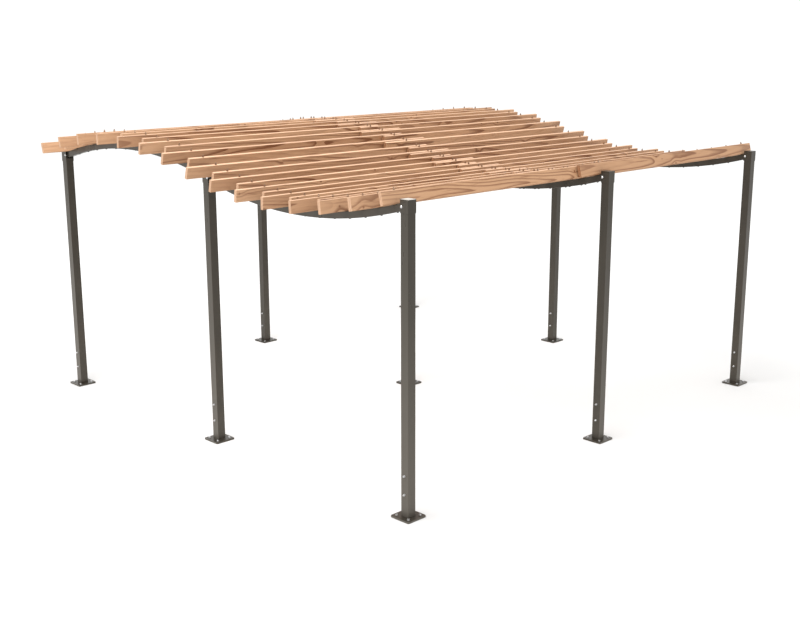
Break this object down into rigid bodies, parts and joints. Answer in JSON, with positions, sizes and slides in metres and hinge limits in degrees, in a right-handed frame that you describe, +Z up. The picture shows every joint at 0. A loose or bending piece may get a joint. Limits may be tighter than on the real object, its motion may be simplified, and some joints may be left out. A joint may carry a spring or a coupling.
{
  "type": "wave-roofed pergola",
  "caption": "Open pergola: square steel posts on base plates carry rolled tube beams, one bay sagging and one arched, with timber rafters on edge making a wave-shaped slatted roof.",
  "frame": {"origin": "on the ground under the centre post, at the middle of the plan", "axes": "+X along the rafters from left to right, +Y along the beams from the sagging front bay to the arched back bay, +Z up"},
  "size_m": [5.6, 5.2, 2.775],
  "materials": {
    "steel": "satin warm grey powder coat",
    "timber": "oiled softwood, planed",
    "zinc": "bright zinc"
  },
  "bodies": {
    "root": {"base_plate_front_left": "steel", "base_plate_front_centre": "steel", "base_plate_front_right": "steel", "base_plate_middle_left": "steel", "base_plate_middle_centre": "steel", "base_plate_middle_right": "steel", "base_plate_back_left": "steel", "base_plate_back_centre": "steel", "base_plate_back_right": "steel", "spigots": "steel", "post_front_left": "steel", "post_front_centre": "steel", "post_front_right": "steel", "post_middle_left": "steel", "post_middle_centre": "steel", "post_middle_right": "steel", "post_back_left": "steel", "post_back_centre": "steel", "post_back_right": "steel", "head_front_left": "steel", "head_front_centre": "steel", "head_front_right": "steel", "head_middle_left": "steel", "head_middle_centre": "steel", "head_middle_right": "steel", "head_back_left": "steel", "head_back_centre": "steel", "head_back_right": "steel", "beam_left_front": "steel", "beam_left_back": "steel", "beam_centre_front": "steel", "beam_centre_back": "steel", "beam_right_front": "steel", "beam_right_back": "steel", "beam_bolts_left": "zinc", "beam_bolts_centre": "zinc", "beam_bolts_right": "zinc", "rafters_left_front_inset": "timber", "rafters_left_front_outset": "timber", "rafters_left_back_inset": "timber", "rafters_left_back_outset": "timber", "rafters_right_front_inset": "timber", "rafters_right_front_outset": "timber", "rafters_right_back_inset": "timber", "rafters_right_back_outset": "timber"}
  },
  "joints": []
}
